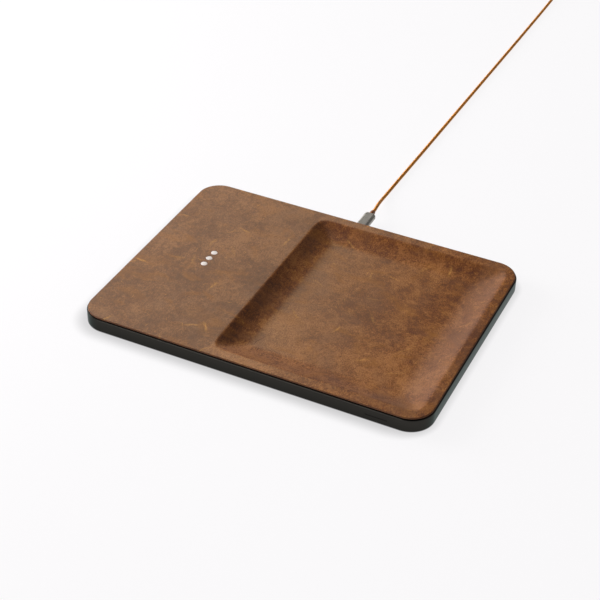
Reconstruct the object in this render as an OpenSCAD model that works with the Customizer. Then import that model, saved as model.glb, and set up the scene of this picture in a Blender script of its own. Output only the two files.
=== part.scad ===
// Wireless charging pad: a leather-covered landing zone beside a soft tray, in a slim metal rim,
// with a detachable USB-C cable. Dimensions are in millimetres. X runs along the long side, with the
// tray on +X. Y runs to the rear, where the cable plugs in. Z is up. The origin is on the table,
// under the middle of the pad.

/* [Pad] */
// Length of the pad
pad_length = 258; // [250:1:270]
// Depth of the pad, front to rear
pad_depth = 192.2; // [190:0.2:200]
// Corner radius of the pad, seen from above
pad_radius = 17.6; // [15:0.2:20]
// Air gap under the rim, set by the feet
floor_gap = 0.6; // [0.4:0.1:0.8]

/* [Rim] */
// Height of the metal rim
rim_height = 9.4; // [9.2:0.1:10]
// Wall thickness of the rim
rim_wall = 2.2; // [1.8:0.1:2.4]
// Rounding of the rim's top outer edge
rim_ease = 0.8; // [0.4:0.1:1]
// Width of the ledge that carries the deck
ledge_width = 2.2; // [1.6:0.1:2.2]
// Thickness of the ledge
ledge_height = 1.4; // [1:0.1:1.4]

/* [Leather] */
// Thickness of the leather
skin = 1.1; // [0.9:0.1:1.3]
// Shadow gap between the rim and the leather
skin_gap = 0.3; // [0.2:0.1:0.4]
// How far the leather's edge stands in from the rim's face
skin_inset = 0.8; // [0.6:0.1:1.2]
// Rounding of the leather's turned edge
skin_ease = 0.6; // [0.3:0.1:0.7]

/* [Tray] */
// Left end of the tray
tray_left = -29; // [-35:1:-25]
// Flat margin to the right of the tray
tray_margin_x = 8; // [7:0.5:10]
// Flat margin in front of the tray and behind it
tray_margin_y = 9.1; // [8.5:0.1:12]
// Depth of the tray
tray_drop = 5.5; // [4.5:0.1:5.8]
// Width of the tray's concave wall
tray_wall = 24; // [18:1:28]

/* [Deck and base] */
// Thickness of the moulded deck under the leather
deck_wall = 1.4; // [1.2:0.1:1.5]
// Thickness of the base plate
base_wall = 1.6; // [1.5:0.1:1.7]
// Diameter of a foot
foot_diameter = 14; // [10:1:18]

/* [Charging coils] */
// Outer diameter of a coil
coil_outer = 46; // [40:1:46]
// Inner diameter of a coil
coil_inner = 20; // [18:1:24]
// Thickness of a coil
coil_height = 1; // [0.8:0.1:1.1]
// Thickness of the ferrite plate
ferrite_height = 1; // [0.6:0.1:1]

/* [Cable] */
// Diameter of the braided cord
cord_diameter = 2.6; // [2.4:0.1:2.8]
// Width of the plug's housing
plug_width = 9; // [9:0.1:10.4]
// Thickness of the plug's housing
plug_height = 5.2; // [5:0.1:6]
// Length of the plug's housing
plug_length = 19.5; // [16:0.5:22]
// Length of the collar where the cord leaves the plug
collar_length = 5.5; // [4:0.5:6]

/* [Hidden] */
$fn = 64;
// Sliver that a cutting shape overshoots by
over = 0.5;
// Running clearance between neighbouring pieces
slack = 0.2;

// Heights of the stack, from the table up
base_bottom = floor_gap + 0.3;
base_top = base_bottom + base_wall;
rim_top = floor_gap + rim_height;
skin_bottom = rim_top + skin_gap;
skin_top = skin_bottom + skin;
deck_bottom = skin_bottom - deck_wall;
ledge_bottom = deck_bottom - ledge_height;

// Bottom rounding of the rim, and how far its section reaches in
rim_foot_ease = 0.4;
rim_reach = rim_wall + ledge_width;
// Points in a quarter-round edge
ease_steps = 6;

// The tray, in the plan
tray_right = pad_length / 2 - tray_margin_x;
tray_length = tray_right - tray_left;
tray_width = pad_depth - 2 * tray_margin_y;
tray_x = (tray_left + tray_right) / 2;
// Steps across the curved wall, and the steps that the corner radius takes up
wall_steps = 12;
corner_steps = 3;
tray_radius = tray_wall * corner_steps / wall_steps;

// A plain debossed capsule on the front of the rim
mark_x = 95.5;
mark_length = 16;
mark_height = 1.8;
mark_depth = 0.2;

// Screws that hold the base plate to the deck, clear of the ledge
screw_inset = rim_reach + 2.6;
screw_y = pad_depth / 2 - screw_inset;
screw_x = pad_length / 2 - screw_inset;
corner_screw_x = pad_length / 2 - pad_radius + 0.4;
BASE_SCREWS = [
    [-corner_screw_x, screw_y], [20, screw_y], [corner_screw_x, screw_y],
    [-corner_screw_x, -screw_y], [-37, -screw_y], [37, -screw_y], [corner_screw_x, -screw_y],
    [-screw_x, 0], [screw_x, 0]
];
boss_radius = 2.3;
screw_radius = 1.25;
pilot_radius = 1.05;
screw_hole = 1.4;
screw_head = 2.2;
screw_sink = 1;
screw_length = 6.2;
pilot_top = deck_bottom - 0.9;

// Base plate: the rib round its edge, the notch in it at the port, and the foot recesses
rib_width = 1.4;
port_notch = 18;
foot_recess = 0.2;
foot_ease = 0.3;
foot_x = 104;
foot_y = 72;

// Charging coils, centred on the landing zone
zone_x = (tray_left - pad_length / 2) / 2;
coil_pitch = coil_outer / 2 + 1;
upper_coil_bottom = deck_bottom - 0.15 - coil_height;
lower_coil_bottom = upper_coil_bottom - 0.1 - coil_height;
ferrite_bottom = lower_coil_bottom - 0.05 - ferrite_height;
ferrite_margin = 1.5;
carrier_wall = 1.2;
carrier_post = 2;
coil_turns = 10;
wire_web = 0.4;
lead_diameter = 0.9;
lead_pitch = 1.4;

// Alignment dots in the leather
dot_radius = 2.35;
dot_pitch = 7.7;
dot_y = 2.4;
dot_height = 0.4;
dot_slack = 0.05;

// Main board: a body beside the coils and an arm along the rear edge to the port
board_height = 1;
board_bottom = base_top + 1.4;
board_top = board_bottom + board_height;
board_left = -104;
board_right = -36;
board_front = 56;
board_rear = 90;
arm_front = 77;
arm_right = 13;
BOARD_SCREWS = [[-100, 60], [-100, 86], [-40, 60], [-40, 86], [9.8, 83.5]];
board_screw_radius = 1;
board_screw_head = 1.9;
board_pilot = 0.85;
standoff_radius = 2.6;

// The USB-C socket and plug, on one axis
port_z = board_top + 1.6;
port_y = pad_depth / 2;
socket_width = 9.05;
socket_height = 3.2;
socket_sheet = 0.3;
socket_front = port_y - 0.5;
socket_length = 7.4;
tongue_width = 6.7;
tongue_height = 0.7;
shell_width = 8.25;
shell_height = 2.4;
shell_sheet = 0.25;
shell_reach = 6.65;
shell_tail = 3;
tongue_slot = 1.1;
plug_bevel = 1.4;
plug_corner = 1.4;
plug_skin = 0.35;
collar_radius = 2.1;
collar_tip = 1.7;

// Route of the cord from the collar, straight back along the table to the coil
cord_radius = cord_diameter / 2;
cord_sides = 8;
coil_lift = 0.5;
ROUTE = [
    [0, 121.1, port_z], [-0.2, 125.5, port_z - 0.15], [-1.1, 131, 5.5], [-2, 137, 4.3],
    [-2.8, 143.5, 3], [-3.3, 151, 1.9], [-3.4, 161, 1.4], [-3.3, 172, cord_radius],
    [-3.1, 185, cord_radius], [-2.8, 200, cord_radius], [-2.2, 230, cord_radius],
    [-1.7, 260, cord_radius], [-1.2, 290, cord_radius], [-0.7, 320, cord_radius],
    [-0.2, 350, cord_radius], [0.3, 380, cord_radius], [0.8, 410, cord_radius],
    [1.3, 440, cord_radius], [1.8, 470, cord_radius], [2.2, 500, cord_radius],
    [2.6, 530, cord_radius], [2.8, 560, cord_radius], [2.8, 575, 1.5], [2.8, 589, 1.8]
];
// Parts that each stretch of a route is divided into
ROUTE_PARTS = [1, 1, 1, 1, 1, 2, 2, 2, 2, 4, 4, 4, 4, 4, 4, 4, 4, 4, 4, 4, 4, 2, 2];

// Coil of the spare cord: three turns across and four high, held by a tie
bundle_x = -14.3;
bundle_y = 594;
bundle_across = 3;
bundle_high = 4;
bundle_radius = 14.5;
tie_width = 8;
tie_wall = 0.4;
tie_side = 0.9;

// The free end: a short tail from the coil, and a plug lying flat on the table
tail_y = bundle_y + bundle_radius + cord_diameter;
tail_end = -27;
free_plug_z = plug_height / 2;
TAIL = [
    [bundle_x - 6, tail_y - 0.7, 4.3], [bundle_x - 8.5, tail_y - 0.2, 3.9],
    [bundle_x - 10.5, tail_y, 3.3], [tail_end, tail_y, free_plug_z]
];
TAIL_PARTS = [2, 2, 1];

// ---- Shared shapes ----

// Points of a quarter circle about a centre, from one angle to another
function arc(cx, cy, r, from, to, steps) =
    [for (i = [0 : steps]) let (a = from + (to - from) * i / steps) [cx + r * cos(a), cy + r * sin(a)]];

// Outline with true round corners
module rounded_plan(length, depth, radius) {
    square([length - 2 * radius, depth], center = true);
    square([length, depth - 2 * radius], center = true);
    for (x = [-1, 1], y = [-1, 1])
        translate([x * (length / 2 - radius), y * (depth / 2 - radius)]) circle(radius);
}

// Plate of the pad's outline, set in from the rim's face
module plate(inset, bottom, height) {
    translate([0, 0, bottom]) linear_extrude(height)
        rounded_plan(pad_length - 2 * inset, pad_depth - 2 * inset, pad_radius - inset);
}

// Sweeps a section round the pad. The section's x is 0 on the outline and negative inside it,
// and its y is the height.
module around(inset) {
    length = pad_length - 2 * inset;
    depth = pad_depth - 2 * inset;
    radius = pad_radius - inset;
    for (side = [0, 1]) {
        mirror([0, side, 0]) translate([0, depth / 2, 0]) rotate([90, 0, 90])
            linear_extrude(length - 2 * radius, center = true) children();
        mirror([side, 0, 0]) translate([length / 2, 0, 0]) rotate([90, 0, 0])
            linear_extrude(depth - 2 * radius, center = true) children();
        for (end = [0, 1])
            mirror([side, 0, 0]) mirror([0, end, 0])
                translate([length / 2 - radius, depth / 2 - radius, 0])
                    rotate_extrude(angle = 90) translate([radius, 0]) children();
    }
}

// Flat oval: a rectangle with round ends
module oval(width, height) {
    square([width - height, height], center = true);
    for (side = [-1, 1]) translate([side * (width - height) / 2, 0]) circle(height / 2);
}

// Flat oval bar along Y
module oval_bar(width, height, from, to) {
    translate([0, to, 0]) rotate([90, 0, 0]) linear_extrude(to - from) oval(width, height);
}

// Depth of the tray at a distance in from its outline
function drop(inset) = tray_drop * (1 - pow(1 - min(inset / tray_wall, 1), 2));

// Points down a tray wall, from its outline in
function wall_points(steps) =
    [for (i = [0 : steps]) let (inset = tray_wall * i / wall_steps) [inset, -drop(inset)]];

// Section right across the tray, rising above its edge by lift
function trough(span, lift) = concat(
    [[-span / 2, lift]],
    [for (p = wall_points(wall_steps)) [p.x - span / 2, p.y]],
    [for (i = [wall_steps : -1 : 0]) let (p = wall_points(wall_steps)[i]) [span / 2 - p.x, p.y]],
    [[span / 2, lift]]
);

// The tray's hollow below a flat top, with round corners
module hollow(top, lift) {
    translate([tray_x, 0, top]) {
        intersection() {
            rotate([90, 0, 0]) linear_extrude(tray_width, center = true)
                polygon(trough(tray_length, lift));
            rotate([90, 0, 90]) linear_extrude(tray_length, center = true)
                polygon(trough(tray_width, lift));
            linear_extrude(4 * tray_drop, center = true) {
                square([tray_length - 2 * tray_radius, tray_width], center = true);
                square([tray_length, tray_width - 2 * tray_radius], center = true);
            }
        }
        for (x = [0, 1], y = [0, 1])
            mirror([x, 0, 0]) mirror([0, y, 0])
                translate([tray_length / 2 - tray_radius, tray_width / 2 - tray_radius, 0])
                    rotate_extrude(angle = 90)
                        polygon(concat(
                            [[0, lift]],
                            [for (i = [corner_steps : -1 : 0])
                                let (p = wall_points(corner_steps)[i]) [tray_radius - p.x, p.y]],
                            [[tray_radius, lift]]
                        ));
    }
}

// One point on a smooth curve through four points
function blend(a, b, c, d, t) =
    0.5 * (2 * b + (c - a) * t + (2 * a - 5 * b + 4 * c - d) * t * t + (3 * b - 3 * c + d - a) * t * t * t);

// Smooth route through hand-placed points, each stretch divided into its own number of parts
function smooth(points, parts) = let (last = len(points) - 1) concat(
    [for (i = [0 : last - 1], j = [0 : parts[i] - 1])
        blend(points[max(i - 1, 0)], points[i], points[i + 1], points[min(i + 2, last)], j / parts[i])],
    [points[last]]
);

// Direction of a route at one of its points
function heading(points, i) =
    let (d = points[min(i + 1, len(points) - 1)] - points[max(i - 1, 0)]) d / norm(d);

// Round tube along a route that never runs straight up
module tube(points, diameter, sides) {
    last = len(points) - 1;
    rings = [for (i = [0 : last])
        let (along = heading(points, i), side = cross(along, [0, 0, 1]), out = side / norm(side),
             up = cross(out, along))
        for (k = [0 : sides - 1])
            let (a = 360 * (k + 0.5) / sides) points[i] + diameter / 2 * (cos(a) * out + sin(a) * up)];
    walls = [for (i = [0 : last - 1], k = [0 : sides - 1])
        let (a = i * sides + k, b = i * sides + (k + 1) % sides)
        for (face = [[a, a + sides, b], [b, a + sides, b + sides]]) face];
    caps = [[for (k = [0 : sides - 1]) k], [for (k = [sides - 1 : -1 : 0]) last * sides + k]];
    polyhedron(rings, concat(walls, caps));
}

// ---- Pad ----

// Leather skin: a flat sheet with a turned edge, dipping into the tray
module leather_cover() {
    edge = concat(
        [[-pad_radius / 2, 0], [-skin_ease / 2, 0], [0, skin_ease / 2]],
        arc(-skin_ease, skin - skin_ease, skin_ease, 0, 90, ease_steps),
        [[-pad_radius / 2, skin]]
    );
    color("#8a6646") difference() {
        union() {
            around(skin_inset) translate([0, skin_bottom]) polygon(edge);
            plate(skin_inset + pad_radius / 4, skin_bottom, skin);
            hollow(skin_bottom, skin / 2);
        }
        hollow(skin_top, over);
        for (row = [-1 : 1])
            translate([zone_x, dot_y + row * dot_pitch, skin_top - dot_height])
                cylinder(h = dot_height + over, r = dot_radius + dot_slack);
    }
}

// Pale inlaid disc that shows where a phone goes; row is -1, 0 or 1 from the front
module alignment_dot(row) {
    color("#f2e9e0") translate([zone_x, dot_y + row * dot_pitch, skin_top - dot_height])
        cylinder(h = dot_height, r = dot_radius);
}

// Moulded deck that carries the leather, with screw bosses under its flat margins
module top_deck() {
    color("#2e2c2a") difference() {
        union() {
            plate(rim_wall + slack, deck_bottom, deck_wall);
            hollow(deck_bottom, deck_wall / 2);
            for (spot = BASE_SCREWS)
                translate([spot.x, spot.y, base_top])
                    cylinder(h = deck_bottom + deck_wall / 2 - base_top, r = boss_radius);
        }
        hollow(skin_bottom, over);
        for (spot = BASE_SCREWS)
            translate([spot.x, spot.y, base_top - over])
                cylinder(h = pilot_top - base_top + over, r = pilot_radius);
    }
}

// Metal rim with an inner ledge under the deck, the port opening through both, and the plain mark
module rim_frame() {
    section = concat(
        [[-rim_wall, floor_gap], [-rim_foot_ease, floor_gap], [0, floor_gap + rim_foot_ease]],
        arc(-rim_ease, rim_top - rim_ease, rim_ease, 0, 90, ease_steps),
        [[-rim_wall, rim_top], [-rim_wall, deck_bottom], [-rim_reach, deck_bottom],
         [-rim_reach, ledge_bottom], [-rim_wall, ledge_bottom]]
    );
    color("#33312e") difference() {
        around(0) polygon(section);
        translate([0, 0, port_z])
            oval_bar(socket_width + 2 * slack, socket_height + 2 * slack,
                     port_y - rim_reach - over, port_y + over);
        translate([mark_x, 0, floor_gap + rim_height / 2])
            oval_bar(mark_length, mark_height, -pad_depth / 2 - over, -pad_depth / 2 + mark_depth);
    }
}

// Base plate with a rib up to the ledge, standoffs, screw holes and foot recesses
module base_plate() {
    rib = rim_wall + slack;
    color("#262523") difference() {
        union() {
            plate(rib, base_bottom, base_wall);
            difference() {
                plate(rib, base_top - over, ledge_bottom - base_top + over);
                plate(rib + rib_width, base_top - 2 * over, ledge_bottom - base_top + 3 * over);
                translate([-port_notch / 2, port_y - 2 * rim_reach, base_top])
                    cube([port_notch, 2 * rim_reach, ledge_bottom]);
            }
            for (spot = BOARD_SCREWS)
                translate([spot.x, spot.y, base_top - over])
                    cylinder(h = board_bottom - base_top + over, r = standoff_radius);
        }
        for (spot = BASE_SCREWS) translate([spot.x, spot.y, 0]) {
            cylinder(h = base_top + over, r = screw_hole);
            translate([0, 0, base_bottom - over]) cylinder(h = over, r = screw_head + 0.1);
            translate([0, 0, base_bottom])
                cylinder(h = screw_sink, r1 = screw_head + 0.1, r2 = screw_radius + 0.1);
        }
        for (spot = BOARD_SCREWS)
            translate([spot.x, spot.y, base_bottom + over])
                cylinder(h = board_bottom - base_bottom, r = board_pilot);
        for (x = [-1, 1], y = [-1, 1])
            translate([x * foot_x, y * foot_y, 0])
                cylinder(h = base_bottom + foot_recess, r = foot_diameter / 2 + 0.1);
    }
}

// Cross recess, cut upward from z = 0
module cross_recess(length, width, depth) {
    for (turn = [0, 90])
        rotate(turn) translate([-length / 2, -width / 2, -over]) cube([length, width, depth + over]);
}

// Flat-head screws up through the base plate into the deck's bosses, with cross recesses
module base_screws() {
    set_in = 0.05;
    color("#5c5b58") for (spot = BASE_SCREWS)
        translate([spot.x, spot.y, base_bottom + set_in]) difference() {
            union() {
                cylinder(h = screw_sink - set_in, r1 = screw_head, r2 = screw_radius);
                cylinder(h = screw_length, r = screw_radius);
            }
            cross_recess(2.2, 0.6, 0.6);
        }
}

// Rubber foot, stuck in a shallow recess of the base plate; x and y are -1 or 1
module foot(x, y) {
    color("#1f1f1f") translate([x * foot_x, y * foot_y, 0]) rotate_extrude()
        polygon(concat(
            [[0, 0]],
            arc(foot_diameter / 2 - foot_ease, foot_ease, foot_ease, -90, 0, ease_steps),
            [[foot_diameter / 2, base_bottom + foot_recess], [0, base_bottom + foot_recess]]
        ));
}

// ---- Charging coils ----

// Flat wound coil: ring upon ring of bevelled wire, bonded together at its widest
module wound_coil(y, bottom) {
    pitch = (coil_outer - coil_inner) / 2 / coil_turns;
    bevel = pitch / 4;
    side = [for (turn = [0 : coil_turns - 1])
        let (from = coil_inner / 2 + pitch * turn)
        for (p = [[from, wire_web / 2], [from + bevel, coil_height / 2],
                  [from + pitch - bevel, coil_height / 2]]) p];
    section = concat(side, [[coil_outer / 2, wire_web / 2]]);
    color("#b0703c") translate([zone_x, y, bottom + coil_height / 2]) rotate_extrude()
        polygon(concat(section, [for (i = [len(section) - 1 : -1 : 0]) [section[i].x, -section[i].y]]));
}

// Pairs of wires from the edge of each coil to the board
module coil_leads() {
    edge = zone_x + coil_outer / 2 + 0.1;
    first_lane = edge + 3.9;
    land = board_front + 4;
    turn = 1.5;
    color("#9c5a2c") for (coil = [-1 : 1], wire = [0, 1]) {
        level = (coil == 0 ? upper_coil_bottom : lower_coil_bottom) + coil_height / 2;
        y = coil * coil_pitch + (wire - 0.5) * lead_pitch;
        x = first_lane + lead_pitch * (2 * (1 - coil) + 1 - wire);
        tube([[edge, y, level], [x - turn, y, level - 0.2], [x, y + turn, level - 0.6],
              [x, land - 8, level - 1.4], [x, land - 3, board_top + lead_diameter],
              [x, land, board_top + lead_diameter / 2]], lead_diameter, 6);
    }
}

// Size of the coil array in plan
array_length = coil_outer + 2 * ferrite_margin;
array_depth = coil_outer + 2 * coil_pitch + 2 * ferrite_margin;
array_radius = 3;

// Ferrite plate behind the coils
module ferrite_plate() {
    color("#4a4a4c") translate([zone_x, 0, ferrite_bottom]) linear_extrude(ferrite_height)
        rounded_plan(array_length, array_depth, array_radius);
}

// Plastic carrier that holds the ferrite and coils up under the deck
module coil_carrier() {
    floor_top = ferrite_bottom;
    lip = 1.5;
    post_inset = 2 * carrier_post;
    color("#d8d6d0") translate([zone_x, 0, 0]) {
        difference() {
            translate([0, 0, floor_top - carrier_wall]) linear_extrude(carrier_wall + ferrite_height / 2)
                rounded_plan(array_length + 2 * lip, array_depth + 2 * lip, array_radius + 1);
            translate([0, 0, floor_top]) linear_extrude(ferrite_height)
                rounded_plan(array_length + slack, array_depth + slack, array_radius + slack / 2);
        }
        for (x = [-1, 1], y = [-1, 0, 1])
            translate([x * (array_length / 2 - post_inset), y * (array_depth / 2 - post_inset), base_top])
                cylinder(h = floor_top - carrier_wall / 2 - base_top, r = carrier_post);
    }
}

// ---- Board and socket ----

// Circuit board with its arm to the port
module main_board() {
    color("#1f5a37") difference() {
        translate([0, 0, board_bottom]) linear_extrude(board_height) {
            translate([board_left, board_front])
                square([board_right - board_left, board_rear - board_front]);
            translate([board_right - over, arm_front])
                square([arm_right - board_right + over, board_rear - arm_front]);
        }
        for (spot = BOARD_SCREWS)
            translate([spot.x, spot.y, board_bottom - over])
                cylinder(h = board_height + 2 * over, r = board_screw_radius + 0.15);
    }
}

// Pan-head screws that hold the board to its standoffs
module board_screws() {
    head_height = 0.9;
    head_ease = 0.5;
    shank = base_bottom + over + 0.1;
    color("#b9b8b4") for (spot = BOARD_SCREWS) translate([spot.x, spot.y, 0]) difference() {
        union() {
            translate([0, 0, shank]) cylinder(h = board_top + over - shank, r = board_screw_radius);
            translate([0, 0, board_top]) rotate_extrude()
                polygon(concat(
                    [[0, 0], [board_screw_head, 0]],
                    arc(board_screw_head - head_ease, head_height - head_ease, head_ease,
                        0, 90, ease_steps),
                    [[0, head_height]]
                ));
        }
        translate([0, 0, board_top + head_height]) mirror([0, 0, 1]) cross_recess(1.8, 0.4, 0.4);
    }
}

// A part on the board: its corner, its size and its colour
module on_board(x, y, length, depth, height, tint) {
    color(tint) translate([x, y, board_top]) cube([length, depth, height]);
}

// Power controller
module controller_chip() {
    on_board(-78, 68, 7, 7, 0.9, "#1c1c1e");
}

// Coil driver inductors and bulk capacitors
module power_parts() {
    for (i = [0 : 2]) on_board(-96 + 10 * i, 77, 7, 7, 3, "#3a3a3d");
    for (i = [0 : 3]) on_board(-66 + 6 * i, 79, 3.2, 5, 2, "#c9b38a");
}

// Small resistors and capacitors in rows
module small_parts() {
    for (i = [0 : 4], j = [0 : 1]) on_board(-96 + 3.5 * i, 66 + 4 * j, 1.6, 0.8, 0.6, "#b99a6b");
    for (i = [0 : 4]) on_board(-30 + 6 * i, 85, 1.6, 0.8, 0.6, "#6f6f72");
}

// Pressed can over the radio driver
module shield_can() {
    can = [14, 10, 2];
    sheet = 0.2;
    color("#c4c3bf") translate([-62, 64, board_top]) difference() {
        cube(can);
        translate([sheet, sheet, -over]) cube([can.x - 2 * sheet, can.y - 2 * sheet, can.z - sheet + over]);
    }
}

// Pressed shell of the socket, open towards the rear
module usb_socket_shell() {
    color("#a9a8a4") translate([0, 0, port_z]) difference() {
        oval_bar(socket_width, socket_height, socket_front - socket_length, socket_front);
        oval_bar(socket_width - 2 * socket_sheet, socket_height - 2 * socket_sheet,
                 socket_front - socket_length + socket_sheet, socket_front + over);
    }
}

// Moulded block and contact tongue inside the socket
module usb_socket_tongue() {
    back = socket_front - socket_length + socket_sheet;
    block = 0.7;
    color("#232325") translate([0, 0, port_z]) {
        oval_bar(socket_width - 2 * socket_sheet, socket_height - 2 * socket_sheet, back, back + block);
        translate([-tongue_width / 2, back, -tongue_height / 2])
            cube([tongue_width, socket_length - 1.2, tongue_height]);
    }
}

// ---- Cable. Each plug piece is drawn with the housing's front face at y = 0, on the plug's axis ----

// Places a piece of the plug that is in the socket
module in_port() {
    translate([0, port_y, port_z]) children();
}

// Places a piece of the free plug, lying flat with its cord towards the coil
module lying_free() {
    translate([tail_end - collar_length - plug_length, tail_y, free_plug_z]) rotate(-90) children();
}

// Bevelled metal housing, hollow at the front
module housing() {
    half = [plug_width / 2, plug_height / 2];
    color("#8c8a85") difference() {
        intersection() {
            translate([0, plug_length, 0]) rotate([90, 0, 0]) linear_extrude(plug_length)
                polygon([
                    for (p = [[1, 1], [-1, 1], [-1, -1], [1, -1]], q = p.x * p.y > 0 ? [0, 1] : [1, 0])
                        [p.x * (half.x - (q == 1 ? plug_bevel : 0)),
                         p.y * (half.y - (q == 0 ? plug_bevel : 0))]
                ]);
            linear_extrude(2 * plug_height, center = true) {
                translate([0, plug_length / 2]) rounded_plan(plug_width, plug_length, plug_corner);
                translate([-half.x, 0]) square([plug_width, plug_length / 2]);
            }
        }
        oval_bar(plug_width - 2 * plug_skin, plug_height - 2 * plug_skin, -over, plug_length - 3);
        rotate([-90, 0, 0]) cylinder(h = plug_length + over, r = collar_tip);
    }
}

// Moulded core in the housing, which holds the plug's shell
module core() {
    color("#1e1e20") difference() {
        oval_bar(plug_width - 2 * plug_skin - 0.1, plug_height - 2 * plug_skin - 0.1,
                 0.3, plug_length - 3.1);
        oval_bar(shell_width, shell_height, 0, shell_tail);
    }
}

// Drawn metal shell that enters the socket
module shell() {
    color("#b4b3af") difference() {
        oval_bar(shell_width, shell_height, -shell_reach, shell_tail);
        oval_bar(shell_width - 2 * shell_sheet, shell_height - 2 * shell_sheet,
                 -shell_reach - over, shell_tail + over);
    }
}

// Contact carrier inside the shell, with a slot for the socket's tongue
module insert() {
    color("#141416") difference() {
        oval_bar(shell_width - 2 * shell_sheet, shell_height - 2 * shell_sheet,
                 -shell_reach + 0.15, shell_tail);
        translate([-tongue_width / 2 - 0.15, -shell_reach - over, -tongue_slot / 2])
            cube([tongue_width + 0.3, shell_reach + over - 0.2, tongue_slot]);
    }
}

// Tapered collar where the cord leaves the housing
module collar() {
    stub_length = 2.8;
    stub_radius = collar_tip - 0.05;
    ease = 0.5;
    color("#97552f") translate([0, plug_length, 0]) rotate([-90, 0, 0]) rotate_extrude()
        polygon(concat(
            [[0, -stub_length], [stub_radius, -stub_length], [stub_radius, 0]],
            arc(collar_radius - ease, ease, ease, -90, 0, ease_steps),
            arc(collar_tip - ease, collar_length - ease, ease, 0, 90, ease_steps),
            [[0, collar_length]]
        ));
}

// Cord from the plug to the coil
module cable_run() {
    color("#b9752f") tube(smooth(ROUTE, ROUTE_PARTS), cord_diameter, cord_sides);
}

// Outer shape of the coil's cross-section
module bundle_section(grow) {
    width = bundle_across * cord_diameter + 2 * grow;
    height = bundle_high * cord_diameter + 2 * grow;
    translate([bundle_radius, coil_lift + height / 2 - grow])
        rounded_plan(width, height, cord_radius + grow);
}

// Coil of the spare cord
module cable_coil() {
    color("#b9752f") translate([bundle_x, bundle_y, 0]) rotate_extrude() bundle_section(0);
}

// Strap round one side of the coil
module cable_tie() {
    width = bundle_across * cord_diameter + 2 * tie_side;
    height = bundle_high * cord_diameter + coil_lift + tie_wall;
    color("#2b2927") translate([bundle_x, bundle_y, 0]) difference() {
        translate([-bundle_radius - width / 2, -tie_width / 2, 0]) cube([width, tie_width, height]);
        rotate_extrude() bundle_section(0);
    }
}

// Short stretch from the coil to the free plug
module cable_tail() {
    color("#b9752f") tube(smooth(TAIL, TAIL_PARTS), cord_diameter, cord_sides);
}

leather_cover();
alignment_dot(-1);  // alignment_dot_front
alignment_dot(0);  // alignment_dot_middle
alignment_dot(1);  // alignment_dot_rear
top_deck();
rim_frame();
base_plate();
base_screws();
foot(-1, -1);  // foot_front_left
foot(1, -1);  // foot_front_right
foot(-1, 1);  // foot_rear_left
foot(1, 1);  // foot_rear_right
wound_coil(-coil_pitch, lower_coil_bottom);  // coil_front
wound_coil(0, upper_coil_bottom);  // coil_middle
wound_coil(coil_pitch, lower_coil_bottom);  // coil_rear
coil_leads();
ferrite_plate();
coil_carrier();
main_board();
board_screws();
controller_chip();
power_parts();
small_parts();
shield_can();
usb_socket_shell();
usb_socket_tongue();
in_port() housing();  // plug_housing
in_port() core();  // plug_core
in_port() shell();  // plug_shell
in_port() insert();  // plug_insert
in_port() collar();  // plug_collar
cable_run();
cable_coil();
cable_tie();
cable_tail();
lying_free() housing();  // free_plug_housing
lying_free() core();  // free_plug_core
lying_free() shell();  // free_plug_shell
lying_free() insert();  // free_plug_insert
lying_free() collar();  // free_plug_collar
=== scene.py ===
"""The looks of a wireless charging pad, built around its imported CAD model.

Lengths are in metres. X runs along the pad's long side with the tray on +X, Y runs to the rear, Z is up,
and the origin is on the table under the middle of the pad.
"""

import math

import bmesh
import bpy
from mathutils import Matrix, Vector, noise


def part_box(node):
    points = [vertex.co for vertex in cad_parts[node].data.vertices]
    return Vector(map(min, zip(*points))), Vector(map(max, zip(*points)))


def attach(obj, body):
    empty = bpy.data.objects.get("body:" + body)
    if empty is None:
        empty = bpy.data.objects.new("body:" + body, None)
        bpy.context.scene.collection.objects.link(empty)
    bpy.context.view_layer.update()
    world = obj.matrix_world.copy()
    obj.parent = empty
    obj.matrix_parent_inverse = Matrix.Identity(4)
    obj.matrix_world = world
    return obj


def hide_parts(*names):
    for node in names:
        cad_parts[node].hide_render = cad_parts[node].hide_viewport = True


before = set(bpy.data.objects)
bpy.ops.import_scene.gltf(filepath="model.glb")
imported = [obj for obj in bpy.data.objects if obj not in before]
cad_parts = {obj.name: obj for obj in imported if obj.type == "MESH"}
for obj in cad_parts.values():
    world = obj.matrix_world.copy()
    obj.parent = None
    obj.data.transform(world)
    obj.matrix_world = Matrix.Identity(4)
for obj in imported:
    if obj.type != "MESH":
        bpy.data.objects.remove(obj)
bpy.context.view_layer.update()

MM = 0.001
UP = Vector((0, 0, 1))

# The pad, from the CAD boxes of its own nodes
RIM_LOW, RIM_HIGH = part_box("rim_frame")
SKIN_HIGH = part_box("leather_cover")[1]
DOTS = {side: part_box("alignment_dot_" + side) for side in ("front", "middle", "rear")}
DOT_PLACES = {side: (low + high) / 2 for side, (low, high) in DOTS.items()}
DOT_RADIUS = (DOTS["middle"][1].x - DOTS["middle"][0].x) / 2
PORT = sum(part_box("usb_socket_shell"), Vector()) / 2

# The rim: its outline's corners, its wall with eased edges, and the ledge inside that carries the deck
PAD_RADIUS = 17.6 * MM
RIM_WALL = 2.2 * MM
RIM_EASE = 0.8 * MM
RIM_FOOT_EASE = 0.4 * MM
RIM_BREAK = 0.1 * MM
LEDGE_WIDTH = 2.2 * MM
LEDGE_TOP = 8.9 * MM
LEDGE_BOTTOM = 7.5 * MM
# What is cut into the rim: the port's opening, and a capsule in place of the lettering
OPENING = (9.45 * MM, 3.6 * MM)
MARK = (16 * MM, 1.8 * MM)
MARK_PLACE = Vector((95.5 * MM, 0, 5.3 * MM))
MARK_DEPTH = 0.2 * MM

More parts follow.
